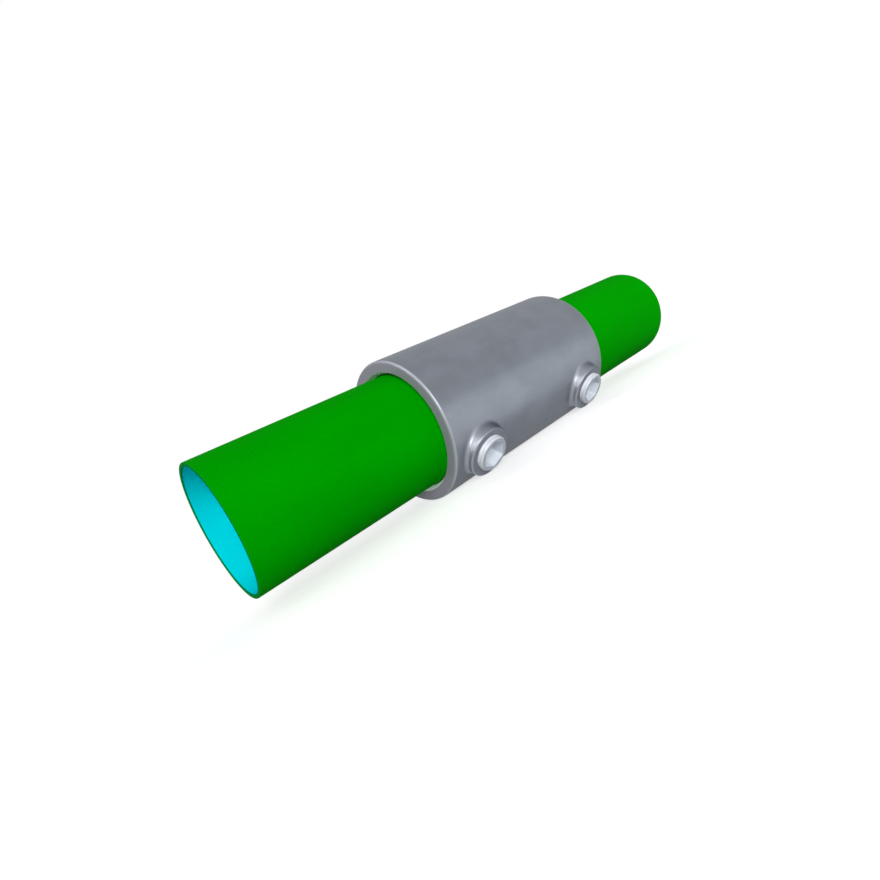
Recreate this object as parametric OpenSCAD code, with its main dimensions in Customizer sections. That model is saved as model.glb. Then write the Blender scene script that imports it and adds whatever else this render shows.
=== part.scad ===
// Straight pipe coupling: a cast sleeve that joins two pipes end to end.
// Two set screws in round bosses on its side clamp the pipes.
// The part lies on a flat surface: the sleeve and the rims of both bosses touch it.
// X runs along the pipes, Z is up, and the origin is on the pipe axis at the sleeve's middle.
// All lengths are in millimetres and all angles in degrees.

/* [Pipes] */
// Outside diameter of both pipes
pipe_diameter = 48.3; // [40:0.1:56]
// Wall thickness of the pipes
pipe_wall = 1.5; // [1.2:0.1:3.2]
// Length of pipe that stands out of each end of the sleeve
pipe_reach = 76.2; // [40:0.1:150]
// Chamfer on the cut edges of the pipes
pipe_chamfer = 0.3; // [0.1:0.05:0.5]
// Colour of the pipes outside
pipe_outside_colour = "green";
// Colour of the pipes inside
pipe_inside_colour = "darkturquoise";

/* [Sleeve] */
// Length of the cast sleeve
sleeve_length = 101.5; // [90:0.5:140]
// Wall thickness of the sleeve between its bore and its outside
sleeve_wall = 5.8; // [4.5:0.1:8]
// Radial clearance between a pipe and the bore
pipe_clearance = 0.3; // [0.2:0.05:0.5]
// Radius of the round on the sleeve's outer rims
rim_round = 1.2; // [0.5:0.1:2.5]
// Radial widening of the bore at each mouth
mouth_flare = 1.3; // [0.5:0.1:1.8]
// Depth of the widened mouth
mouth_depth = 2.6; // [1:0.1:5]
// Width of the stop rib in the middle of the bore
stop_width = 6; // [3:0.5:12]
// Distance that the stop rib stays back from the inside of the pipes
stop_setback = 0.4; // [0.2:0.1:0.6]
// Colour of the cast sleeve
sleeve_colour = "darkgray";

/* [Bosses] */
// Diameter of each screw boss
boss_diameter = 20.6; // [18:0.1:26]
// Height of the flat land of a boss above the crown of the sleeve
boss_height = 2.95; // [2.2:0.05:6]
// Radius of the round between the land and the side of a boss
boss_round = 0.6; // [0.3:0.1:1]
// Radius of the fillet that blends a boss into the sleeve
boss_fillet = 1.6; // [0.8:0.1:2]

/* [Set screws] */
// Diameter of the set screws
screw_diameter = 14.4; // [12.5:0.1:15]
// Distance from an end of the sleeve to the screw's axis
screw_inset = 15.7; // [14:0.1:22]
// Height of the screw's face above the land of its boss
screw_stand = 2.15; // [1.2:0.05:4]
// Height of the chamfer round the screw's face
head_chamfer_height = 0.9; // [0.3:0.05:1.1]
// Width of the chamfer round the screw's face
head_chamfer_width = 0.5; // [0.2:0.05:0.6]
// Width across the flats of the hexagon socket
socket_flats = 10; // [7:0.1:10.3]
// Depth of the hexagon socket
socket_depth = 6; // [3:0.1:6.5]
// Depth of the cone at the bottom of the socket
socket_cone = 1.2; // [0.5:0.1:1.5]
// Diameter of the sharp rim of the cup point
cup_diameter = 7; // [4:0.1:9]
// Depth of the cup point
cup_depth = 1.2; // [0.5:0.1:1.5]
// Height of the cone behind the cup point
tip_height = 2; // [1:0.1:2.5]
// Radial clearance of a screw in its hole
screw_clearance = 0.05; // [0.02:0.01:0.1]
// Gap between a tightened screw and its pipe
tip_gap = 0.05; // [0.02:0.01:0.1]
// Turn of the left screw's socket about its own axis
left_socket_turn = 32; // [0:1:60]
// Turn of the right screw's socket about its own axis
right_socket_turn = 11; // [0:1:60]
// Colour of the set screws
screw_colour = "gainsboro";

/* [Hidden] */

// Facets of a round, steps round a boss fillet and steps along its arc
$fn = 96;
fillet_turns = 64;
fillet_steps = 7;
// Part of the fillet's arc left out at either end, where it would only graze its neighbour
fillet_trim = 0.09;
// Depth to which the fillet reaches into the boss and into the wall
fillet_root = 1;
// Length by which a cutter passes the surface that it opens
over = 1;

pipe_radius = pipe_diameter / 2;
pipe_bore_radius = pipe_radius - pipe_wall;
bore_radius = pipe_radius + pipe_clearance;
sleeve_radius = bore_radius + sleeve_wall;
stop_radius = pipe_bore_radius + stop_setback;
sleeve_half = sleeve_length / 2;
pipe_end = sleeve_half + pipe_reach;

boss_radius = boss_diameter / 2;
land_height = sleeve_radius + boss_height;
screw_radius = screw_diameter / 2;
screw_offset = sleeve_half - screw_inset;
face_height = land_height + screw_stand;
tip_level = pipe_radius + tip_gap;
socket_radius = socket_flats / 2 / cos(30);

// Lean of a screw from straight down at which a ring on it touches the same surface as the
// sleeve, for a ring of the given radius and edge round at the given height above the pipe axis
function lean(height, radius, round) =
    acos(min(1, (sleeve_radius - round) / norm([height, radius]))) + atan2(radius, height);

// The part rolls until the first of these rings touches
screw_lean = max(
    lean(land_height - boss_round, boss_radius - boss_round, boss_round),
    lean(face_height - head_chamfer_height, screw_radius, 0),
    lean(face_height, screw_radius - head_chamfer_width, 0));

// Turns a piece with its screws straight up into the lying place, screws down and to the front
module lying() {
    rotate([180 - screw_lean, 0, 0]) children();
}

// Revolves a profile drawn as [radius, place along X] about the pipe axis
module about_pipe_axis() {
    rotate([0, 90, 0]) rotate_extrude() children();
}

// Corner of a profile that a round takes away, with the round's centre at the origin
module corner_waste(radius) {
    difference() {
        square(radius + over);
        circle(r = radius);
    }
}

// Half of the sleeve's section: a plain wall with a round at its outer rim
module wall_section() {
    difference() {
        translate([0, -sleeve_half]) square([sleeve_radius, sleeve_length]);
        for (side = [-1, 1])
            scale([1, side])
                translate([sleeve_radius - rim_round, sleeve_half - rim_round])
                    corner_waste(rim_round);
    }
}

// Space inside the sleeve: two pipe seats with widened mouths, parted by the stop rib
module seat_section() {
    for (side = [-1, 1])
        scale([1, side])
            polygon([
                [0, stop_width / 2],
                [bore_radius, stop_width / 2],
                [bore_radius, sleeve_half - mouth_depth],
                [bore_radius + mouth_flare, sleeve_half],
                [bore_radius + mouth_flare, sleeve_half + over],
                [0, sleeve_half + over]
            ]);
    translate([0, -stop_width]) square([stop_radius, 2 * stop_width]);
}

// Round boss with its screw pointing up, from inside the wall to the land
module boss() {
    rotate_extrude() difference() {
        translate([0, bore_radius]) square([boss_radius, land_height - bore_radius]);
        translate([boss_radius - boss_round, land_height - boss_round]) corner_waste(boss_round);
    }
}

// Fillet between a boss and the sleeve, rolled by a ball that touches both.
// The ball's centre keeps one fillet radius from the boss's side and from the sleeve.
ball_path = boss_radius + boss_fillet;
ball_reach = sleeve_radius + boss_fillet;

function ball_centre(turn) =
    let (across = ball_path * sin(turn))
    [ball_path * cos(turn), across, sqrt(ball_reach * ball_reach - across * across)];

// Direction from the ball's centre, swung from the boss at share 0 to the sleeve at share 1
function ball_direction(turn, share) =
    let (
        centre = ball_centre(turn),
        to_boss = [-cos(turn), -sin(turn), 0],
        to_sleeve = [0, -centre[1], -centre[2]] / ball_reach,
        opening = acos(to_boss * to_sleeve)
    )
    (sin((1 - share) * opening) * to_boss + sin(share * opening) * to_sleeve) / sin(opening);

// A point moved towards the pipe axis until it lies the given depth under the sleeve's surface
function under_surface(point, depth) =
    let (shrink = (sleeve_radius - depth) / norm([point[1], point[2]]))
    [point[0], point[1] * shrink, point[2] * shrink];

// Section of the fillet at one turn: the arc, then two corners in the wall and one in the boss
function fillet_section(turn) =
    let (
        arc = [for (step = [0:fillet_steps])
            let (share = fillet_trim + (1 - 2 * fillet_trim) * step / fillet_steps)
            ball_centre(turn) + boss_fillet * ball_direction(turn, share)],
        root = boss_radius - fillet_root,
        inner = [root * cos(turn), root * sin(turn), arc[0][2]]
    )
    concat(arc, [under_surface(arc[fillet_steps], fillet_root), under_surface(inner, fillet_root), inner]);

module fillet_ring() {
    corners = fillet_steps + 4;
    points = [for (place = [0:fillet_turns - 1]) each fillet_section(360 * place / fillet_turns)];
    faces = [for (place = [0:fillet_turns - 1], corner = [0:corners - 1])
        let (
            here = place * corners,
            next = (place + 1) % fillet_turns * corners,
            after = (corner + 1) % corners
        )
        each [
            [here + corner, here + after, next + corner],
            [next + corner, here + after, next + after]
        ]];
    polyhedron(points = points, faces = faces);
}

// The sleeve with its screws pointing up
module sleeve_upright() {
    difference() {
        union() {
            about_pipe_axis() wall_section();
            for (side = [-1, 1])
                translate([side * screw_offset, 0, 0]) {
                    boss();
                    fillet_ring();
                }
        }
        about_pipe_axis() seat_section();
        for (side = [-1, 1])
            translate([side * screw_offset, 0, 0])
                cylinder(r = screw_radius + screw_clearance, h = land_height + over);
    }
}

module coupling_sleeve() {
    color(sleeve_colour) lying() sleeve_upright();
}

// Set screw pointing up: cup point below, plain body, chamfered face with a hexagon socket above
module set_screw(place, turn) {
    color(screw_colour) lying() translate([place, 0, 0]) difference() {
        rotate_extrude() polygon([
            [0, tip_level + cup_depth],
            [cup_diameter / 2, tip_level],
            [screw_radius, tip_level + tip_height],
            [screw_radius, face_height - head_chamfer_height],
            [screw_radius - head_chamfer_width, face_height],
            [0, face_height]
        ]);
        rotate([0, 0, turn])
            translate([0, 0, face_height - socket_depth])
                cylinder(r = socket_radius, h = socket_depth + over, $fn = 6);
        translate([0, 0, face_height - socket_depth - socket_cone])
            cylinder(r1 = 0, r2 = socket_flats / 2, h = socket_cone);
    }
}

module left_set_screw() {
    set_screw(-screw_offset, left_socket_turn);
}

module right_set_screw() {
    set_screw(screw_offset, right_socket_turn);
}

// One length of pipe with chamfered ends, from the stop rib to its free end
module pipe(side) {
    difference() {
        color(pipe_outside_colour) about_pipe_axis() scale([1, side]) polygon([
            [0, stop_width / 2],
            [pipe_radius - pipe_chamfer, stop_width / 2],
            [pipe_radius, stop_width / 2 + pipe_chamfer],
            [pipe_radius, pipe_end - pipe_chamfer],
            [pipe_radius - pipe_chamfer, pipe_end],
            [0, pipe_end]
        ]);
        color(pipe_inside_colour) about_pipe_axis() scale([1, side]) polygon([
            [0, 0],
            [pipe_bore_radius, 0],
            [pipe_bore_radius, pipe_end - pipe_chamfer],
            [pipe_bore_radius + pipe_chamfer + over, pipe_end + over],
            [0, pipe_end + over]
        ]);
    }
}

module left_pipe() {
    pipe(-1);
}

module right_pipe() {
    pipe(1);
}

coupling_sleeve();
left_set_screw();
right_set_screw();
left_pipe();
right_pipe();
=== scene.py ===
"""Straight pipe coupling: a cast sleeve with two screw bosses, two set screws and two pipes."""
import math

import bmesh
import bpy
import numpy as np
from bpy.props import FloatProperty, FloatVectorProperty, PointerProperty
from mathutils import Matrix, Vector


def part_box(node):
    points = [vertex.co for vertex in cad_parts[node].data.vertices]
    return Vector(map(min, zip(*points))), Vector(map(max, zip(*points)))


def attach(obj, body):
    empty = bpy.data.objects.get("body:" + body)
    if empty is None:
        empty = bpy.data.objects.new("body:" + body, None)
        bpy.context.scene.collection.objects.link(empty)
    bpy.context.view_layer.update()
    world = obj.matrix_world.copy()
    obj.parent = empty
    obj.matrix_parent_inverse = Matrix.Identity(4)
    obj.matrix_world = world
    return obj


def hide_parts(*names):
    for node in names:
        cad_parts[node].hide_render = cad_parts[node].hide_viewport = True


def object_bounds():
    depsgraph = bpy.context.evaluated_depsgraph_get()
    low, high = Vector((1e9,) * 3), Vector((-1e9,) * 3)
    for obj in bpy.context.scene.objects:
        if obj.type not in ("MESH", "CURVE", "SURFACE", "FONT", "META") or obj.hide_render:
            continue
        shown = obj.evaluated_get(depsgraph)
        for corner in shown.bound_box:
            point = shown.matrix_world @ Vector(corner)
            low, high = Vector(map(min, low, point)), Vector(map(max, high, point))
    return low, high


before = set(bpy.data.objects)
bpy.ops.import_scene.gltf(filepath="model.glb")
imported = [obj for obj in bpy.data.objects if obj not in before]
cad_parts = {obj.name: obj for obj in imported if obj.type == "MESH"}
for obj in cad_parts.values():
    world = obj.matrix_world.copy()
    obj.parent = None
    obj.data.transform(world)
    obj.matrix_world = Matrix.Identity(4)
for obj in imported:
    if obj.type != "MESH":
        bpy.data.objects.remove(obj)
cad_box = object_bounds()

bl_info = {
    "name": "Straight Pipe Coupling",
    "version": (1, 0, 0),
    "blender": (4, 5, 0),
    "location": "3D View > Sidebar > Coupling",
    "description": "Builds a cast pipe coupling with its set screws and two lengths of pipe",
    "category": "Add Mesh",
}

MM = 0.001
SIDES = {"left": -1, "right": 1}
# A made piece may stand this far outside the box of the part that it replaces
BOX_TOLERANCE = 0.05 * MM
# Points closer together than this are one point of a mesh
WELD = 0.0005 * MM
# Edges that bend more than this are shown sharp
SHARP_ANGLE = math.radians(32)
# Straight run beside a rounded corner, before the next stretch of mesh begins
LEAD = 1 * MM
# Noise seldom leaves this range, which is stretched to go from 0 to 1
NOISE_RANGE = (0.35, 0.65)


# Sizes and colours that a user would change

def length(name, description, millimetres):
    return FloatProperty(name=name, description=description, default=millimetres * MM,
                         min=0, precision=5, subtype="DISTANCE", unit="LENGTH")


def turn(name, description, degrees):
    return FloatProperty(name=name, description=description, default=math.radians(degrees),
                         subtype="ANGLE", unit="ROTATION")


def tint(name, description, colour):
    return FloatVectorProperty(name=name, description=description, default=colour,
                               min=0, max=1, size=3, subtype="COLOR")


def share(name, description, default):
    return FloatProperty(name=name, description=description, default=default,
                         min=0, max=1, subtype="FACTOR")


def amount(name, description, default):
    return FloatProperty(name=name, description=description, default=default, min=0)


def direction(name, description, default):
    return FloatVectorProperty(name=name, description=description, default=default,
                               size=3, subtype="DIRECTION")


class PipeSizes(bpy.types.PropertyGroup):
    """The two lengths of pipe"""
    radius: length("Radius", "Outside radius of the pipes", 24.15)
    wall: length("Wall", "Wall thickness of the pipes", 1.5)
    gap: length("Gap", "Distance of each pipe from the middle of the sleeve", 3.0)
    end: length("End", "Distance of the free ends from the middle of the sleeve", 126.95)
    edge_round: length("Edge Round", "Round on the cut edges", 0.28)
    outside: tint("Outside", "Paint on the outside", (0.0, 0.325, 0.0))
    inside: tint("Inside", "Paint on the inside", (0.0, 0.72, 0.80))
    # A darker green on the cut ends and on the round just inside the bore
    edge: tint("Edge", "Paint on the cut ends, where it is thin", (0.0, 0.225, 0.03))
    roughness: share("Roughness", "Roughness of the paint", 0.5)
    metallic: share("Metallic", "How metallic the paint looks", 0.05)


class SleeveSizes(bpy.types.PropertyGroup):
    """The cast sleeve with its two bosses"""
    half: length("Half Length", "Half of the sleeve's length", 50.75)
    radius: length("Radius", "Outside radius of the sleeve", 30.25)
    bore: length("Bore", "Radius of the bore that takes a pipe", 24.45)
    mouth: length("Mouth", "Radius of the widened mouth", 25.75)
    mouth_depth: length("Mouth Depth", "Depth of the widened mouth", 2.6)
    rib: length("Rib", "Radius inside the stop rib", 23.05)
    rib_width: length("Rib Width", "Width of the stop rib", 6.0)
    rim_round: length("Rim Round", "Round on the outer rims", 1.2)
    edge_round: length("Edge Round", "Round on the small edges", 0.2)
    boss_radius: length("Boss Radius", "Radius of a screw boss", 10.3)
    boss_place: length("Boss Place", "Distance of a boss from the middle of the sleeve", 35.05)
    land: length("Land", "Height of a boss's flat land above the pipe axis", 33.2)
    boss_round: length("Boss Round", "Round at the edge of the land", 0.6)
    fillet: length("Fillet", "Radius of the fillet between boss and sleeve", 1.6)
    hole: length("Hole", "Radius of the screw holes", 7.25)
    patch: length("Patch", "Half width of the mesh patch round a boss", 14.0)
    bore_patch: length("Bore Patch", "Half width of the mesh patch round a hole in the bore", 12.0)
    lean: turn("Lean", "Lean of the screws from straight down, where the part rests", 45.909)
    colour: tint("Colour", "Zinc on the casting", (0.200, 0.220, 0.252))
    face_colour: tint("Face Colour", "Zinc on the end faces", (0.325, 0.308, 0.375))
    # Lighter zinc painted on the left sides of the bosses: a painted highlight
    flank_highlight_colour: tint("Flank Colour", "Worn zinc on the sides of the bosses",
                       (0.325, 0.340, 0.375))
    # A dark colour painted in the corners at the foot of the bosses, on their right: painted shade
    painted_shade_colour: tint("Grime Colour", "Grime in the corners at the foot of the bosses",
                       (0.085, 0.090, 0.130))
    # The rims are lighter zinc: partly edge wear, partly a painted highlight along the rims
    rim_wear_and_highlight_colour: tint("Rim Colour", "Worn zinc on the outer rims", (0.38, 0.40, 0.44))
    # The mouths are bright machined metal, made lighter still as a painted highlight in the shaded
    # gap
    mouth_metal_and_highlight_colour: tint("Mouth Colour", "Bright metal in the machined mouths", (0.78, 0.79, 0.82))
    roughness: share("Roughness", "Roughness of the casting", 0.32)
    metallic: share("Metallic", "How metallic the zinc looks", 0.35)


class ScrewSizes(bpy.types.PropertyGroup):
    """The two set screws"""
    radius: length("Radius", "Radius of the screws", 7.2)
    face: length("Face", "Height of a screw's face above the pipe axis", 35.35)
    collar: length("Collar", "Height where the thread ends below the face", 32.9)
    chamfer_height: length("Chamfer Height", "Height of the chamfer round the face", 0.9)
    chamfer_width: length("Chamfer Width", "Width of the chamfer round the face", 0.5)
    socket_flats: length("Socket Flats", "Width across the flats of the hexagon socket", 10.0)
    socket_depth: length("Socket Depth", "Depth of the hexagon socket", 6.0)
    socket_cone: length("Socket Cone", "Depth of the cone below the socket", 1.2)
    socket_corner: length("Socket Corner", "Radius at which the socket's corners are cut", 5.68)
    tip: length("Tip", "Height of the cup point's rim above the pipe axis", 24.2)
    tip_cone: length("Tip Cone", "Height of the cone behind the cup point", 2.0)
    cup_radius: length("Cup Radius", "Radius of the cup point's rim", 3.5)
    cup_depth: length("Cup Depth", "Depth of the cup point", 1.2)
    pitch: length("Pitch", "Pitch of the thread", 2.0)
    thread_depth: length("Thread Depth", "Depth of the thread", 0.85)
    edge_round: length("Edge Round", "Round on the turned edges", 0.1)
    left_turn: turn("Left Turn", "Turn of the left screw about its axis", 32.0)
    right_turn: turn("Right Turn", "Turn of the right screw about its axis", 11.0)
    colour: tint("Colour", "Bright plating on the screws", (0.84, 0.865, 0.95))
    # The face is much darker than the rest of the plating: partly duller plating, partly painted
    # shade on a face turned from the light
    face_colour: tint("Face Colour", "Duller plating on the turned face", (0.385, 0.415, 0.48))
    socket_colour: tint("Socket Colour", "Plating in the socket, where it is thinner",
                        (0.71, 0.76, 0.82))
    roughness: share("Roughness", "Roughness of the plating", 0.42)
    metallic: share("Metallic", "How metallic the plating looks", 0.05)


class StageSettings(bpy.types.PropertyGroup):
    """Floor, light and camera"""
    lens: FloatProperty(name="Lens", description="Focal length of the camera", default=20.52,
                        subtype="DISTANCE_CAMERA", unit="CAMERA")
    camera_place: FloatVectorProperty(
        name="Camera Place", description="Place of the camera, before the part is laid down",
        default=(-156.87 * MM, -127.46 * MM, 113.68 * MM), size=3, precision=5,
        subtype="TRANSLATION", unit="LENGTH")
    camera_aim: direction("Camera Aim", "Direction of the camera, before the part is laid down",
                          (0.5789, 0.5760, -0.5771))
    camera_roll: turn("Camera Roll", "Roll of the camera about its aim", -0.03)
    floor_size: FloatProperty(name="Floor Size", description="Width of the floor", default=30.0,
                              subtype="DISTANCE", unit="LENGTH")
    ambient: amount("Ambient", "Strength of the light from all round", 0.41)
    key: amount("Key", "Strength of the key lamp", 2.25)
    key_source: direction("Key Source", "Direction of the key lamp", (-0.45, -0.859, 0.240))
    side: amount("Side", "Strength of the glint from the left", 1.45)
    side_source: direction("Side Source", "Direction of the glint from the left",
                           (-0.62, 0.045, 0.782))
    front: amount("Front", "Strength of the glint from the front", 0.95)
    front_source: direction("Front Source", "Direction of the glint from the front",
                            (0.579, -0.722, -0.385))


GROUPS = {
    "coupling_pipe": PipeSizes,
    "coupling_sleeve": SleeveSizes,
    "coupling_screw": ScrewSizes,
    "coupling_stage": StageSettings,
}


# Shader expressions

class Shade:
    """A socket in an expression. Sums and products of it add Math nodes to its tree."""

    def __init__(self, socket):
        self.socket = socket

    @staticmethod
    def node(tree, kind, settings=None, inputs=None, output=0):
        """Adds a node: its settings are set first, then the values or links of its sockets."""
        made = tree.nodes.new(kind)
        for name, value in (settings or {}).items():
            setattr(made, name, value)
        for name, value in (inputs or {}).items():
            if isinstance(value, Shade):
                tree.links.new(value.socket, made.inputs[name])
            else:
                made.inputs[name].default_value = value
        return Shade(made.outputs[output]) if made.outputs else None

    @staticmethod
    def maths(operation, *terms):
        tree = next(term.socket.id_data for term in terms if isinstance(term, Shade))
        return Shade.node(tree, "ShaderNodeMath", {"operation": operation}, dict(enumerate(terms)))

    def __add__(self, other):
        return Shade.maths("ADD", self, other)

    def __radd__(self, other):
        return Shade.maths("ADD", other, self)

    def __sub__(self, other):
        return Shade.maths("SUBTRACT", self, other)

    def __rsub__(self, other):
        return Shade.maths("SUBTRACT", other, self)

    def __mul__(self, other):
        return Shade.maths("MULTIPLY", self, other)

    def __rmul__(self, other):
        return Shade.maths("MULTIPLY", other, self)

    def axes(self):
        """The three parts of a vector."""
        first = Shade.node(self.socket.id_data, "ShaderNodeSeparateXYZ", None, {0: self})
        return [Shade(socket) for socket in first.socket.node.outputs]

    def reach(self, low, high):
        """0 below low and 1 above high, with a smooth rise between them."""
        return Shade.node(self.socket.id_data, "ShaderNodeMapRange",
                          {"interpolation_type": "SMOOTHSTEP"},
                          {"Value": self, "From Min": low, "From Max": high})


def wider(one, other):
    """Length of the vector with these two parts."""
    return Shade.maths("SQRT", one * one + other * other)


def object_place(tree):
    """The place of a point in its own piece."""
    return Shade.node(tree, "ShaderNodeTexCoord", output="Object")


def spread_along(place):
    """Distance from the middle of the sleeve, along the pipes."""
    return Shade.maths("ABSOLUTE", place.axes()[0])


def screw_place(place, sleeve):
    """Distance from the nearer screw's axis, and height along it from the pipe axis."""
    along, across, up = place.axes()
    lean = math.pi - sleeve.lean
    out = wider(Shade.maths("ABSOLUTE", along) - sleeve.boss_place,
                across * math.cos(lean) + up * math.sin(lean))
    return out, up * math.cos(lean) - across * math.sin(lean)


def noise(place, size, detail=2.0, stretch=(1.0, 1.0, 1.0), rough=0.5):
    """Noise from 0 to 1 whose lumps are about the given size across."""
    tree = place.socket.id_data
    scaled = Shade.node(tree, "ShaderNodeVectorMath", {"operation": "MULTIPLY"},
                        {0: place, 1: tuple(1 / (size * part) for part in stretch)})
    return Shade.node(tree, "ShaderNodeTexNoise", {"noise_dimensions": "3D"},
                      {"Vector": scaled, "Scale": 1.0, "Detail": detail, "Roughness": rough})


def rings_about(distance, size):
    """Noise from 0 to 1 that varies with one distance alone."""
    return Shade.node(distance.socket.id_data, "ShaderNodeTexNoise", {"noise_dimensions": "1D"},
                      {"W": distance * (1 / size), "Scale": 1.0, "Detail": 1.0})


def mixed(mask, low, high):
    """A colour that goes from low to high as the mask goes from 0 to 1."""
    low, high = (part if isinstance(part, Shade) else (*part, 1.0) for part in (low, high))
    return Shade.node(mask.socket.id_data, "ShaderNodeMix", {"data_type": "RGBA"},
                      {0: mask, 6: low, 7: high}, output=2)


def toned(colour, factor):
    """A colour made darker or lighter."""
    return tuple(min(1.0, part * factor) for part in colour)


def clouded(mask, colour, darker, lighter):
    """A colour that goes from darker to lighter as the mask goes from 0 to 1."""
    return mixed(mask, toned(colour, darker), toned(colour, lighter))


def thinned(mask, marks, most):
    """A mask that is weaker where the marks are near 0, by this share at most."""
    return mask * ((1 - most) + most * marks)


def swayed(value, mask, sway):
    """A value that goes from half the sway below to half above as the mask goes from 0 to 1."""
    return value - sway / 2 + sway * mask


def bumped(height, distance, strength):
    """Normals of a surface that this height makes uneven."""
    return Shade.node(height.socket.id_data, "ShaderNodeBump", None,
                      {"Height": height, "Distance": distance, "Strength": strength})


def new_material(name):
    material = bpy.data.materials.new(name)
    material.use_nodes = True
    material.node_tree.nodes.clear()
    return material


def finish_material(material, looks):
    """Gives a material one surface with these looks."""
    surface = Shade.node(material.node_tree, "ShaderNodeBsdfPrincipled", None, looks)
    Shade.node(material.node_tree, "ShaderNodeOutputMaterial", None, {"Surface": surface})
    return material


# Mesh helpers

def around(along, radius, angle):
    """Points at places along the pipe axis, at radii and at angles from the screws' direction."""
    points = np.broadcast_arrays(along, radius * np.sin(angle), radius * np.cos(angle))
    return np.stack(points, -1)


def about_screw(radius, angle, height):
    """Points round a screw's axis at heights above the pipe axis."""
    points = np.broadcast_arrays(radius * np.cos(angle), radius * np.sin(angle), height)
    return np.stack(points, -1)


def cells_of(rows):
    """The four corners of each cell between neighbouring rows and columns."""
    return rows[:-1, :-1], rows[1:, :-1], rows[1:, 1:], rows[:-1, 1:]


def strip(rows):
    """Quads between neighbouring rows and columns of points."""
    return np.stack(cells_of(rows), 2).reshape(-1, 4, 3)


def between(start, end, cells):
    """Places of the ends of this many equal cells."""
    return np.linspace(start, end, cells + 1)


def blend(one, other, step):
    """A place on the straight way from one to the other."""
    return one + step * (other - one)


def swung(one, other, opening, step):
    """A place on the arc from one to the other, which are the opening apart."""
    return (np.sin((1 - step) * opening) * one + np.sin(step * opening) * other) / np.sin(opening)


def section(corners, steps=5):
    """Line through corners (along, radius, round), with an arc where a corner has a round."""
    points = []
    for place, (along, radius, bend) in enumerate(corners):
        corner = np.array((along, radius))
        if not bend:
            points.append(corner)
            continue
        before = np.array(corners[place - 1][:2]) - corner
        after = np.array(corners[place + 1][:2]) - corner
        before, after = before / np.linalg.norm(before), after / np.linalg.norm(after)
        half = math.acos(float(np.clip(before @ after, -1, 1))) / 2
        middle = before + after
        centre = corner + middle / np.linalg.norm(middle) * bend / math.sin(half)
        reach = bend / math.tan(half)
        start, stop = corner + before * reach - centre, corner + after * reach - centre
        for step in between(0, 1, steps):
            points.append(centre + swung(start, stop, math.pi - 2 * half, step))
    return np.array(points)


def turn_outward(mesh):
    """Turns each face of a closed mesh to the outside, and stops where the mesh isn't closed."""
    work = bmesh.new()
    work.from_mesh(mesh)
    open_edges = sum(1 for edge in work.edges if len(edge.link_faces) != 2)
    if open_edges:
        raise RuntimeError(f"{mesh.name}: {open_edges} edges don't join two faces")
    bmesh.ops.recalc_face_normals(work, faces=work.faces)
    work.to_mesh(mesh)
    work.free()


def make_piece(name, quads, matrix, material):
    """Welds quads into one closed mesh and places it. A quad that shrinks to a line is left out."""
    corners = np.concatenate(quads).reshape(-1, 3) @ np.array(matrix.to_3x3()).T
    corners = corners + matrix.translation
    keys = np.round(corners / WELD).astype(np.int64)
    _, first, places = np.unique(keys, axis=0, return_index=True, return_inverse=True)
    faces = []
    for face in places.reshape(-1, 4).tolist():
        kept = [corner for spot, corner in enumerate(face) if corner != face[spot - 1]]
        if len(set(kept)) > 2:
            faces.append(kept)
    mesh = bpy.data.meshes.new(name)
    mesh.from_pydata(corners[first].tolist(), [], faces)
    mesh.validate()
    turn_outward(mesh)
    mesh.polygons.foreach_set("use_smooth", [True] * len(mesh.polygons))
    mesh.set_sharp_from_angle(angle=SHARP_ANGLE)
    mesh.materials.append(material)
    piece = bpy.data.objects.new(name, mesh)
    bpy.context.scene.collection.objects.link(piece)
    weighted = piece.modifiers.new("Even shading", "WEIGHTED_NORMAL")
    weighted.keep_sharp = True
    return piece


def check_box(piece, node):
    """Stops where a piece stands outside the part that it replaces."""
    corners = np.array([vertex.co for vertex in piece.data.vertices])
    low, high = (np.array(corner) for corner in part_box(node))
    over = float(max(np.max(low - corners.min(0)), np.max(corners.max(0) - high)))
    if over > BOX_TOLERANCE:
        raise RuntimeError(f"{piece.name} stands {over / MM:.3f} mm outside {node}")


def lying(sleeve):
    """Turns a piece drawn with its screws straight up into the place in which the part rests."""
    return Matrix.Rotation(math.pi - sleeve.lean, 4, "X")


# Finishes

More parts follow.
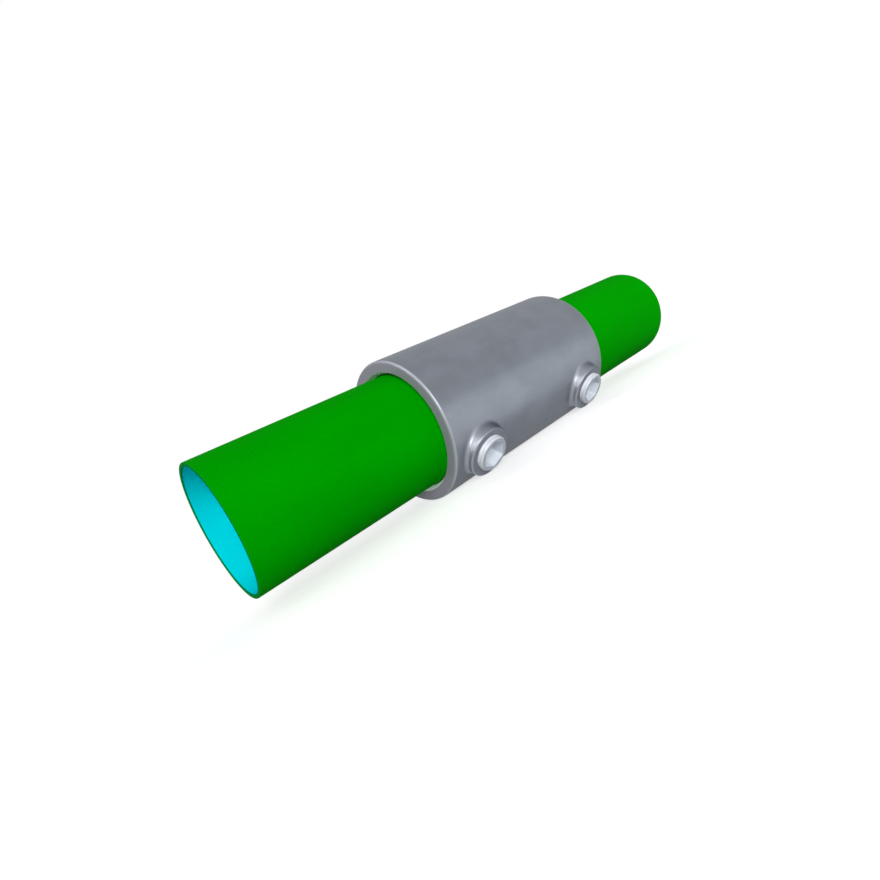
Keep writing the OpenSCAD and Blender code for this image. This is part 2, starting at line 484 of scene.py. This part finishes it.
def casting_finish(sizes):
    """Zinc on a sand casting: grain, faint clouds, bright mouths and rims worn brighter, with
    painted highlights on the mouths, rims and left sides of the bosses, and painted shade in the
    corners on their right.
    """
    material = new_material("galvanised_casting")
    place = object_place(material.node_tree)
    along, across, height = place.axes()
    grain = noise(place, size=0.9 * MM, detail=4.0, rough=0.6)
    clouds = noise(place, size=14 * MM, detail=3.0)
    streaks = noise(place, size=5 * MM, stretch=(3.0, 1.0, 1.0))
    spread, out = spread_along(place), wider(across, height)
    from_screw, screw_height = screw_place(place, sizes)

    # Masks of the end faces, the outer rims and the machined mouths
    face = spread.reach(sizes.half - 0.3 * MM, sizes.half - 0.1 * MM)
    rim = spread.reach(sizes.half - 1.0 * MM, sizes.half - 0.7 * MM) * (1 - face) \
        * out.reach(sizes.radius - 1.2 * MM, sizes.radius - 0.9 * MM)
    mouth = spread.reach(sizes.half - sizes.mouth_depth, sizes.half - 0.8 * sizes.mouth_depth) \
        * (1 - out.reach(sizes.mouth, sizes.mouth + 0.1 * MM))
    # Round a boss, ahead goes from 1 on its left to -1 on its right. The bosses are painted
    # lighter on their left, as a highlight, and darker in the corners on their right, as shade.
    ahead = (Shade.maths("SIGN", along) * sizes.boss_place - along) * (1 / sizes.boss_radius)
    boss = (1 - from_screw.reach(sizes.boss_radius + 0.1 * MM, sizes.boss_radius + sizes.fillet)) \
        * screw_height.reach(0.8 * sizes.radius, 0.85 * sizes.radius)
    flank_highlight = boss * from_screw.reach(sizes.boss_radius - 0.7 * MM, sizes.boss_radius - 0.3 * MM) \
        * ahead.reach(0.0, 0.6)
    painted_shade = boss * from_screw.reach(sizes.boss_radius - 0.5 * MM, sizes.boss_radius - 0.25 * MM) \
        * (1 - ahead.reach(-0.6, 0.1))

    tone = clouds * 0.5 + streaks * 0.3 + grain * 0.2
    colour = clouded(tone.reach(*NOISE_RANGE), sizes.colour, darker=0.93, lighter=1.07)
    colour = mixed(face, colour, sizes.face_colour)
    # Painted highlight on the left sides of the bosses
    colour = mixed(thinned(flank_highlight, grain, most=0.2), colour, sizes.flank_highlight_colour)
    # Painted shade in the corners at the foot of the bosses, on their right
    colour = mixed(thinned(painted_shade, clouds, most=0.25), colour, sizes.painted_shade_colour)
    # Rims lighter: partly wear, partly a painted highlight
    colour = mixed(thinned(rim, grain, most=0.25), colour, sizes.rim_wear_and_highlight_colour)
    # Mouths: bright metal, partly a painted highlight
    colour = mixed(mouth, colour, sizes.mouth_metal_and_highlight_colour)
    flank_metal, face_metal, mouth_metal = 0.25, 0.2, 0.35
    rim_rough, mouth_rough = 0.06, 0.38
    return finish_material(material, {
        "Base Color": colour,
        "Metallic": sizes.metallic + flank_metal * flank_highlight - face_metal * face + mouth_metal * mouth,
        "Roughness": swayed(sizes.roughness, clouds, sway=0.12)
        + rim_rough * rim + mouth_rough * mouth,
        "Specular IOR Level": 0.0,
        "Normal": bumped(grain + 0.6 * streaks, distance=0.07 * MM, strength=0.5),
    })


def plated_finish(sizes, sleeve):
    """Bright plating over turned steel: fine rings round the axis, a few soft marks, a duller face
    that is also painted darker as shade, and a chamfer and edge line painted darker as shade.
    """
    material = new_material("bright_plated_steel")
    place = object_place(material.node_tree)
    out, height = screw_place(place, sleeve)
    clouds = noise(place, size=3 * MM, detail=3.0)
    marks = noise(place, size=0.6 * MM, detail=3.0, rough=0.6)

    # Masks of the turned face, the socket, the chamfer and the chamfer's lower edge
    face = height.reach(sizes.face - 0.07 * MM, sizes.face - 0.02 * MM)
    turned = Shade.maths("MAXIMUM", face,
                         out.reach(sizes.radius - 0.7 * MM, sizes.radius - 0.6 * MM))
    rings = turned * rings_about(out + height, size=0.15 * MM)
    outside = out.reach(sizes.socket_corner + 0.02 * MM, sizes.socket_corner + 0.1 * MM)
    line = sizes.face - sizes.chamfer_height
    edge = height.reach(line - 0.15 * MM, line - 0.05 * MM) \
        * (1 - height.reach(line + 0.05 * MM, line + 0.15 * MM))
    chamfer = height.reach(line, line + 0.1 * MM)

    # The chamfer and a thin line along its lower edge are painted darker than the plating: painted
    # shade
    chamfer_shade_tone, edge_shade_tone = 0.78, 0.6
    colour = clouded((0.6 * clouds + 0.4 * marks).reach(*NOISE_RANGE), sizes.colour,
                     darker=0.94, lighter=1.04)
    colour = mixed(1 - outside, colour, sizes.socket_colour)
    # Painted shade on the chamfer and along its lower edge
    colour = mixed(chamfer * outside, colour, toned(sizes.colour, chamfer_shade_tone))
    colour = mixed(edge * outside, colour, toned(sizes.colour, edge_shade_tone))
    # Face darker: partly duller plating, partly painted shade
    colour = mixed(thinned(face, marks, most=0.1), colour, sizes.face_colour)
    ring_rough = 0.05
    return finish_material(material, {
        "Base Color": colour,
        "Metallic": sizes.metallic,
        "Roughness": swayed(sizes.roughness, clouds, sway=0.1) + ring_rough * rings,
        "Normal": bumped(rings, distance=0.01 * MM, strength=0.5),
    })


def pipe_finish(sizes):
    """Paint in three colours: outside, inside and a darker green on the cut ends, with faint orange
    peel.
    """
    material = new_material("satin_pipe_paint")
    place = object_place(material.node_tree)
    _, across, height = place.axes()
    out = wider(across, height)
    peel = noise(place, size=1.1 * MM)
    clouds = noise(place, size=22 * MM, detail=3.0, stretch=(2.5, 1.0, 1.0))
    hue = (0.8 * clouds + 0.2 * peel).reach(*NOISE_RANGE)

    # The darker green covers the cut end and turns a little way into the bore
    inner = sizes.radius - sizes.wall
    turned_in = spread_along(place).reach(sizes.end - 0.45 * MM, sizes.end - 0.35 * MM)
    cut = Shade.maths("MAXIMUM", turned_in, out.reach(inner + 0.02 * MM, inner + 0.1 * MM))
    outer = out.reach(sizes.radius - 0.14 * MM, sizes.radius - 0.05 * MM)
    colour = mixed(cut, clouded(hue, sizes.inside, darker=0.96, lighter=1.04),
                   clouded(hue, sizes.edge, darker=0.9, lighter=1.1))
    colour = mixed(outer, colour, clouded(hue, sizes.outside, darker=0.95, lighter=1.05))
    return finish_material(material, {
        "Base Color": colour,
        "Roughness": swayed(sizes.roughness, clouds, sway=0.08),
        "Metallic": sizes.metallic,
        "Specular IOR Level": 0.0,
        "Normal": bumped(peel, distance=0.02 * MM, strength=0.35),
    })


# Pieces

def patch_edge(half_width, half_angle, cells_along, cells_round):
    """Points round the edge of a square patch: distances along the sleeve and angles round it."""
    along = between(-half_width, half_width, cells_along)
    swing = between(-half_angle, half_angle, cells_round)
    low, high = np.full(cells_along, -half_angle), np.full(cells_along, half_angle)
    left, right = np.full(cells_round, -half_width), np.full(cells_round, half_width)
    return (np.concatenate((along[:-1], right, along[:0:-1], left, along[:1])),
            np.concatenate((low, swing[:-1], high, swing[:0:-1], swing[:1])))


class COUPLING_OT_sleeve(bpy.types.Operator):
    """Builds the cast sleeve with its bosses, screw holes, mouths and stop rib"""
    bl_idname = "coupling.sleeve"
    bl_label = "Cast Sleeve"

    # Half of the angle that a patch takes up round the sleeve
    PATCH_ANGLE = math.radians(30)
    # Cells of the mesh along and round a patch, round the rest, and between the patches
    CELLS_ALONG = 28
    CELLS_ROUND = 32
    CELLS_REST = 150
    CELLS_BETWEEN = 42
    # Cells across a fillet, from it to the edge of its patch, the same in the bore,
    # down a screw hole, and from the stop rib to a patch in the bore
    CELLS_FILLET = 9
    CELLS_APRON = 7
    CELLS_BORE_APRON = 5
    CELLS_HOLE = 4
    CELLS_RIB = 12
    # Cells across a round on the land, on the sleeve's ends and on the rib
    STEPS_LAND = 6
    STEPS_END = 8
    STEPS_RIB = 4

    def boss(self, sizes, side):
        """Quads of one boss, its hole and the patches that join it to the sleeve and the bore."""
        edge_along, edge_angle = patch_edge(sizes.patch, self.PATCH_ANGLE,
                                            self.CELLS_ALONG, self.CELLS_ROUND)
        bearing = np.arctan2(edge_angle * sizes.radius, edge_along)
        top = section([
            (sizes.hole, sizes.land - LEAD, 0),
            (sizes.hole, sizes.land, sizes.edge_round),
            (sizes.boss_radius, sizes.land, sizes.boss_round),
            (sizes.boss_radius, sizes.land - LEAD, 0),
        ], self.STEPS_LAND)[:-1]
        rows = [about_screw(radius, bearing, height) for radius, height in top]

        # The fillet is rolled by a ball that touches boss and sleeve
        ball_reach = sizes.radius + sizes.fillet
        ball = about_screw(sizes.boss_radius + sizes.fillet, bearing, 0)
        ball[:, 2] = np.sqrt(ball_reach ** 2 - ball[:, 1] ** 2)
        to_boss, to_sleeve = about_screw(-1.0, bearing, 0), -ball * (0, 1, 1) / ball_reach
        opening = np.arccos(np.sum(to_boss * to_sleeve, 1))[:, None]
        for step in between(0, 1, self.CELLS_FILLET):
            rows.append(ball + sizes.fillet * swung(to_boss, to_sleeve, opening, step))
        foot_along, foot_angle = rows[-1][:, 0], np.arctan2(rows[-1][:, 1], rows[-1][:, 2])
        for step in between(0, 1, self.CELLS_APRON)[1:]:
            rows.append(around(blend(foot_along, edge_along, step), sizes.radius,
                               blend(foot_angle, edge_angle, step)))

        along, across = sizes.hole * np.cos(bearing), sizes.hole * np.sin(bearing)
        level = np.sqrt(sizes.bore ** 2 - across ** 2)
        foot = np.stack((along, across, level), -1)
        hole = [blend(rows[0], foot, step) for step in between(0, 1, self.CELLS_HOLE)]
        bore_edge = edge_along * sizes.bore_patch / sizes.patch
        bore_angle = np.arctan2(across, level)
        bore = [around(blend(along, bore_edge, step), sizes.bore,
                       blend(bore_angle, edge_angle, step))
                for step in between(0, 1, self.CELLS_BORE_APRON)]
        shift = (side * sizes.boss_place, 0, 0)
        return [strip(np.stack(part)) + shift for part in (rows, bore, hole)]

    def shell(self, radius, along, angles, holes):
        """Quads of a round surface without the cells that lie in the patches."""
        quads = strip(around(along[:, None], radius, angles[None, :]))
        middle = quads.mean(1)
        swing = np.abs(np.arctan2(middle[:, 1], middle[:, 2]))
        for place, half_width in holes:
            inside = (np.abs(middle[:, 0] - place) < half_width) & (swing < self.PATCH_ANGLE)
            quads, middle, swing = quads[~inside], middle[~inside], swing[~inside]
        return quads

    def execute(self, context):
        sizes = context.scene.coupling_sleeve
        patch_round = between(-self.PATCH_ANGLE, self.PATCH_ANGLE, self.CELLS_ROUND)
        rest = between(self.PATCH_ANGLE, 2 * math.pi - self.PATCH_ANGLE, self.CELLS_REST)
        angles = np.concatenate((patch_round[:-1], rest))
        near, far = sizes.boss_place - sizes.patch, sizes.boss_place + sizes.patch
        patch = between(near, far, self.CELLS_ALONG)
        middle = between(-near, near, self.CELLS_BETWEEN)
        along = np.concatenate((-patch[::-1], middle[1:-1], patch))
        holes = [(side * sizes.boss_place, sizes.patch) for side in SIDES.values()]
        quads = [self.shell(sizes.radius, along, angles, holes)]

        rib = sizes.rib_width / 2
        bore_near, bore_far = (sizes.boss_place + way * sizes.bore_patch for way in (-1, 1))
        inner = np.concatenate((between(rib + LEAD, bore_near, self.CELLS_RIB)[:-1],
                                between(bore_near, bore_far, self.CELLS_ALONG)))
        end = section([
            (far, sizes.radius, 0),
            (sizes.half, sizes.radius, sizes.rim_round),
            (sizes.half, sizes.mouth, sizes.edge_round),
            (sizes.half - sizes.mouth_depth, sizes.bore, sizes.edge_round),
            (bore_far, sizes.bore, 0),
        ], self.STEPS_END)
        for side in SIDES.values():
            quads.append(self.shell(sizes.bore, side * inner, angles,
                                    [(side * sizes.boss_place, sizes.bore_patch)]))
            quads.append(strip(around(side * end[:, :1], end[:, 1:], angles[None, :])))
            quads.extend(self.boss(sizes, side))
        stop = section([
            (-rib - LEAD, sizes.bore, 0),
            (-rib, sizes.bore, sizes.edge_round),
            (-rib, sizes.rib, sizes.edge_round),
            (rib, sizes.rib, sizes.edge_round),
            (rib, sizes.bore, sizes.edge_round),
            (rib + LEAD, sizes.bore, 0),
        ], self.STEPS_RIB)
        quads.append(strip(around(stop[:, :1], stop[:, 1:], angles[None, :])))

        piece = make_piece("cast_sleeve", quads, lying(sizes), casting_finish(sizes))
        check_box(piece, "coupling_sleeve")
        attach(piece, "root")
        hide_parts("coupling_sleeve")
        return {"FINISHED"}


class COUPLING_OT_set_screws(bpy.types.Operator):
    """Builds the two set screws with thread, cup point and hexagon socket"""
    bl_idname = "coupling.set_screws"
    bl_label = "Set Screws"

    # Cells of the mesh round a screw, and along one pitch of its thread
    CELLS_ROUND = 120
    CELLS_PITCH = 12
    # Share of each half pitch that is level at the crest, and at the root
    LEVEL = 0.14
    # Shares of a pitch over which the groove runs out below the collar and above the point
    RUN_OUT = 0.6
    RUN_IN = 0.3
    # Straight run between the point and the thread
    NECK = 0.3 * MM
    # The cone below the socket is this much narrower than the flats
    LEDGE = 0.02 * MM

    def thread(self, sizes, low, high, angles):
        """Rows that follow the helix, so that crests and roots stay crisp."""
        turns = math.ceil((high - low) / sizes.pitch) + 1
        rows = np.arange(-self.CELLS_PITCH, turns * self.CELLS_PITCH + 1)[:, None]
        place = rows / self.CELLS_PITCH
        climb = (angles - angles[0])[None, :] / (2 * math.pi)
        height = np.clip(low + (place + climb) * sizes.pitch, low, high)
        phase = np.abs((place % 1) - 0.5) * 2
        groove = np.clip((1 - self.LEVEL - phase) / (1 - 2 * self.LEVEL), 0, 1)
        fade = np.clip((high - height) / (self.RUN_OUT * sizes.pitch), 0, 1) \
            * np.clip((height - low) / (self.RUN_IN * sizes.pitch), 0, 1)
        return about_screw(sizes.radius - sizes.thread_depth * groove * fade,
                           angles[None, :], height)

    def socket(self, sizes, angles):
        """Rows from the face over the socket's edge, down its six walls and the cone below."""
        hexagon = (angles - angles[0]) % math.radians(60) - math.radians(30)
        flats = sizes.socket_flats / 2
        wall = np.minimum(flats / np.cos(hexagon), sizes.socket_corner)
        level = np.ones_like(wall)
        edge, face, floor = sizes.edge_round, sizes.face, sizes.face - sizes.socket_depth
        rows = [
            (wall + 1.5 * edge, face),
            (wall + edge, face),
            (wall + 0.3 * edge, face - 0.3 * edge),
            (wall, face - edge),
            (wall, face - 2 * edge),
            (wall, (face + floor) / 2),
            (wall, floor),
            (level * (flats - self.LEDGE), floor),
            (level * flats / 2, floor - sizes.socket_cone / 2),
            (level * 0, floor - sizes.socket_cone),
        ]
        return np.stack([about_screw(radius, angles, height) for radius, height in rows])

    def execute(self, context):
        sizes, sleeve = context.scene.coupling_screw, context.scene.coupling_sleeve
        finish = plated_finish(sizes, sleeve)
        foot = sizes.tip + sizes.tip_cone
        point = section([
            (0, sizes.tip + sizes.cup_depth, 0),
            (sizes.cup_radius, sizes.tip, sizes.edge_round),
            (sizes.radius, foot, sizes.edge_round),
            (sizes.radius, foot + self.NECK, 0),
        ])
        head = section([
            (sizes.radius, sizes.collar, 0),
            (sizes.radius, sizes.face - sizes.chamfer_height, sizes.edge_round),
            (sizes.radius - sizes.chamfer_width, sizes.face, sizes.edge_round),
            (sizes.radius - 2 * sizes.chamfer_width, sizes.face, 0),
        ])
        for name, side in SIDES.items():
            start = sizes.left_turn if side < 0 else sizes.right_turn
            angles = start + between(0, 2 * math.pi, self.CELLS_ROUND)
            head_rows = about_screw(head[:, :1], angles[None, :], head[:, 1:])
            parts = (about_screw(point[:, :1], angles[None, :], point[:, 1:]),
                     self.thread(sizes, foot + self.NECK, sizes.collar, angles),
                     np.concatenate((head_rows, self.socket(sizes, angles))))
            shift = Matrix.Translation(Vector((side * sleeve.boss_place, 0, 0)))
            piece = make_piece(f"{name}_screw", [strip(part) for part in parts],
                               lying(sleeve) @ shift, finish)
            check_box(piece, f"{name}_set_screw")
            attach(piece, f"{name}_screw")
            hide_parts(f"{name}_set_screw")
        return {"FINISHED"}


class COUPLING_OT_pipes(bpy.types.Operator):
    """Builds the two lengths of pipe"""
    bl_idname = "coupling.pipes"
    bl_label = "Pipes"

    # Cells of the mesh round a pipe and along it
    CELLS_ROUND = 192
    CELLS_ALONG = 24

    def execute(self, context):
        sizes, sleeve = context.scene.coupling_pipe, context.scene.coupling_sleeve
        finish = pipe_finish(sizes)
        angles = between(0, 2 * math.pi, self.CELLS_ROUND)
        inner = sizes.radius - sizes.wall
        places = between(sizes.gap, sizes.end, self.CELLS_ALONG)[1:-1]
        bend = sizes.edge_round
        line = section([
            (places[0], inner, 0), (sizes.gap, inner, bend), (sizes.gap, sizes.radius, bend),
            *((place, sizes.radius, 0) for place in places),
            (sizes.end, sizes.radius, bend), (sizes.end, inner, bend),
            *((place, inner, 0) for place in places[::-1]),
        ])
        for name, side in SIDES.items():
            quads = [strip(around(side * line[:, :1], line[:, 1:], angles[None, :]))]
            piece = make_piece(f"{name}_pipe_length", quads, lying(sleeve), finish)
            check_box(piece, f"{name}_pipe")
            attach(piece, "root")
            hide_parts(f"{name}_pipe")
        return {"FINISHED"}


class COUPLING_OT_stage(bpy.types.Operator):
    """Sets up the floor, the soft studio light and the camera"""
    bl_idname = "coupling.stage"
    bl_label = "Stage"

    KEY_ANGLE = math.radians(30)
    GLINT_ANGLE = math.radians(52)
    SENSOR_WIDTH = 36.0
    NEAREST, FARTHEST = 1 * MM, 100.0
    BLACK, WHITE = (0.0, 0.0, 0.0), (1.0, 1.0, 1.0)
    # Darkest and lightest tone of the floor, and the glow that only the eye sees on it
    FLOOR_TONES = (0.66, 0.66, 0.67), (0.68, 0.68, 0.68)
    FLOOR_GLOW = (0.65, 0.65, 0.65)
    FLOOR_ROUGHNESS = 0.9
    FLOOR_CLOUDS = 60 * MM
    # Half width of the finely divided part of the floor, and its cells
    FLOOR_PATCH = 60 * MM
    FLOOR_CELLS = 120
    # Place of the hollows across the floor, their reach along the sleeve, in front and behind,
    # and their depth
    HOLLOW_PLACE = -27 * MM
    HOLLOW_LENGTH = 24 * MM
    HOLLOW_FRONT = 32 * MM
    HOLLOW_BACK = 10 * MM
    HOLLOW_DEPTH = 4.6 * MM

    def seen(self, tree):
        """1 for what the eye sees, straight, mirrored or through glass, and 0 for other light."""
        first = Shade.node(tree, "ShaderNodeLightPath", output="Is Camera Ray")
        rays = first.socket.node.outputs
        both = Shade.maths("MAXIMUM", first, Shade(rays["Is Glossy Ray"]))
        return Shade.maths("MAXIMUM", both, Shade(rays["Is Transmission Ray"]))

    def floor(self, settings, sleeve):
        """A plain floor with a shallow hollow for each screw, which reaches lower backed off."""
        fine = between(-self.FLOOR_PATCH, self.FLOOR_PATCH, self.FLOOR_CELLS)
        lines = np.concatenate(([-settings.floor_size / 2], fine, [settings.floor_size / 2]))
        along, across = lines[:, None], lines[None, :]
        width = np.where(across < self.HOLLOW_PLACE, self.HOLLOW_FRONT, self.HOLLOW_BACK)
        out = np.hypot((np.abs(along) - sleeve.boss_place) / self.HOLLOW_LENGTH,
                       (across - self.HOLLOW_PLACE) / width)
        level = cad_box[0].z - self.HOLLOW_DEPTH * np.cos(np.minimum(out, 1) * math.pi / 2) ** 2
        points = np.stack(np.broadcast_arrays(along, across, level), -1).reshape(-1, 3)
        corners = np.arange(len(points)).reshape(len(lines), -1)
        cells = np.stack(cells_of(corners), -1).reshape(-1, 4)
        mesh = bpy.data.meshes.new("studio_floor")
        mesh.from_pydata(points.tolist(), [], cells.tolist())
        mesh.polygons.foreach_set("use_smooth", [True] * len(mesh.polygons))
        # The hollows are lit as flat floor, so that they don't show
        mesh.normals_split_custom_set_from_vertices([(0.0, 0.0, 1.0)] * len(points))
        material = new_material("studio_floor")
        tree = material.node_tree
        paper = noise(object_place(tree), size=self.FLOOR_CLOUDS)
        mesh.materials.append(finish_material(material, {
            "Base Color": mixed(paper, *self.FLOOR_TONES),
            "Roughness": self.FLOOR_ROUGHNESS,
            "Specular IOR Level": 0.0,
            "Emission Color": mixed(self.seen(tree), self.BLACK, self.FLOOR_GLOW),
            "Emission Strength": 1.0,
        }))
        made = bpy.data.objects.new("studio_floor", mesh)
        bpy.context.scene.collection.objects.link(made)

    def lamp(self, name, strength, source, angle):
        """A wide soft lamp, far off in the direction of its source."""
        data = bpy.data.lights.new(name, "SUN")
        data.energy, data.angle = strength, angle
        made = bpy.data.objects.new(name, data)
        made.rotation_euler = Vector(source).to_track_quat("Z", "Y").to_euler()
        bpy.context.scene.collection.objects.link(made)
        return made

    def glint(self, name, strength, source):
        """A lamp that only gives gloss its highlights, and that nothing stands in the way of."""
        made = self.lamp(name, strength, source, self.GLINT_ANGLE)
        made.visible_diffuse = False
        made.data.use_shadow = False
        made.data.cycles.use_multiple_importance_sampling = False

    def camera(self, scene, settings, lean):
        """The camera, placed with the screws level and then laid down with the part."""
        data = bpy.data.cameras.new("camera")
        data.lens, data.sensor_width = settings.lens, self.SENSOR_WIDTH
        data.clip_start, data.clip_end = self.NEAREST, self.FARTHEST
        aim = Vector(settings.camera_aim).normalized()
        right = aim.cross(Vector((0, 0, 1))).normalized()
        facing = Matrix((right, right.cross(aim), -aim)).transposed().to_4x4()
        laid = Matrix.Rotation(math.pi / 2 - lean, 4, "X")
        made = bpy.data.objects.new("camera", data)
        made.matrix_world = laid @ Matrix.Translation(Vector(settings.camera_place)) @ facing \
            @ Matrix.Rotation(settings.camera_roll, 4, "Z")
        scene.collection.objects.link(made)
        scene.camera = made

    def sky(self, scene, ambient):
        """Even light from all round, and a white backdrop."""
        world = bpy.data.worlds.new("studio")
        world.use_nodes = True
        tree = world.node_tree
        tree.nodes.clear()
        light = Shade.node(tree, "ShaderNodeBackground", None, {
            "Color": mixed(self.seen(tree), (ambient,) * 3, self.WHITE), "Strength": 1.0})
        Shade.node(tree, "ShaderNodeOutputWorld", None, {"Surface": light})
        scene.world = world

    def execute(self, context):
        scene = context.scene
        settings, sleeve = scene.coupling_stage, scene.coupling_sleeve
        scene.view_settings.view_transform = "Standard"
        self.sky(scene, settings.ambient)
        self.floor(settings, sleeve)
        self.lamp("key_lamp", settings.key, settings.key_source, self.KEY_ANGLE)
        self.glint("side_glint", settings.side, settings.side_source)
        self.glint("front_glint", settings.front, settings.front_source)
        self.camera(scene, settings, sleeve.lean)
        return {"FINISHED"}


OPERATORS = (COUPLING_OT_stage, COUPLING_OT_sleeve, COUPLING_OT_set_screws, COUPLING_OT_pipes)


class COUPLING_PT_panel(bpy.types.Panel):
    """Buttons that build the coupling piece by piece"""
    bl_idname = "COUPLING_PT_panel"
    bl_label = "Pipe Coupling"
    bl_space_type = "VIEW_3D"
    bl_region_type = "UI"
    bl_category = "Coupling"

    def draw(self, context):
        for operator in OPERATORS:
            self.layout.operator(operator.bl_idname)
        for name in GROUPS:
            box = self.layout.box()
            group = getattr(context.scene, name)
            for key in group.bl_rna.properties.keys():
                if key not in {"rna_type", "name"}:
                    box.prop(group, key)


def register():
    for group in GROUPS.values():
        bpy.utils.register_class(group)
    for name, group in GROUPS.items():
        setattr(bpy.types.Scene, name, PointerProperty(type=group))
    for made in (*OPERATORS, COUPLING_PT_panel):
        bpy.utils.register_class(made)


def unregister():
    for made in (COUPLING_PT_panel, *OPERATORS[::-1]):
        bpy.utils.unregister_class(made)
    for name, group in GROUPS.items():
        delattr(bpy.types.Scene, name)
        bpy.utils.unregister_class(group)


def main():
    register()
    bpy.ops.coupling.stage()
    bpy.ops.coupling.sleeve()
    bpy.ops.coupling.set_screws()
    bpy.ops.coupling.pipes()


if __name__ == "__main__":
    main()
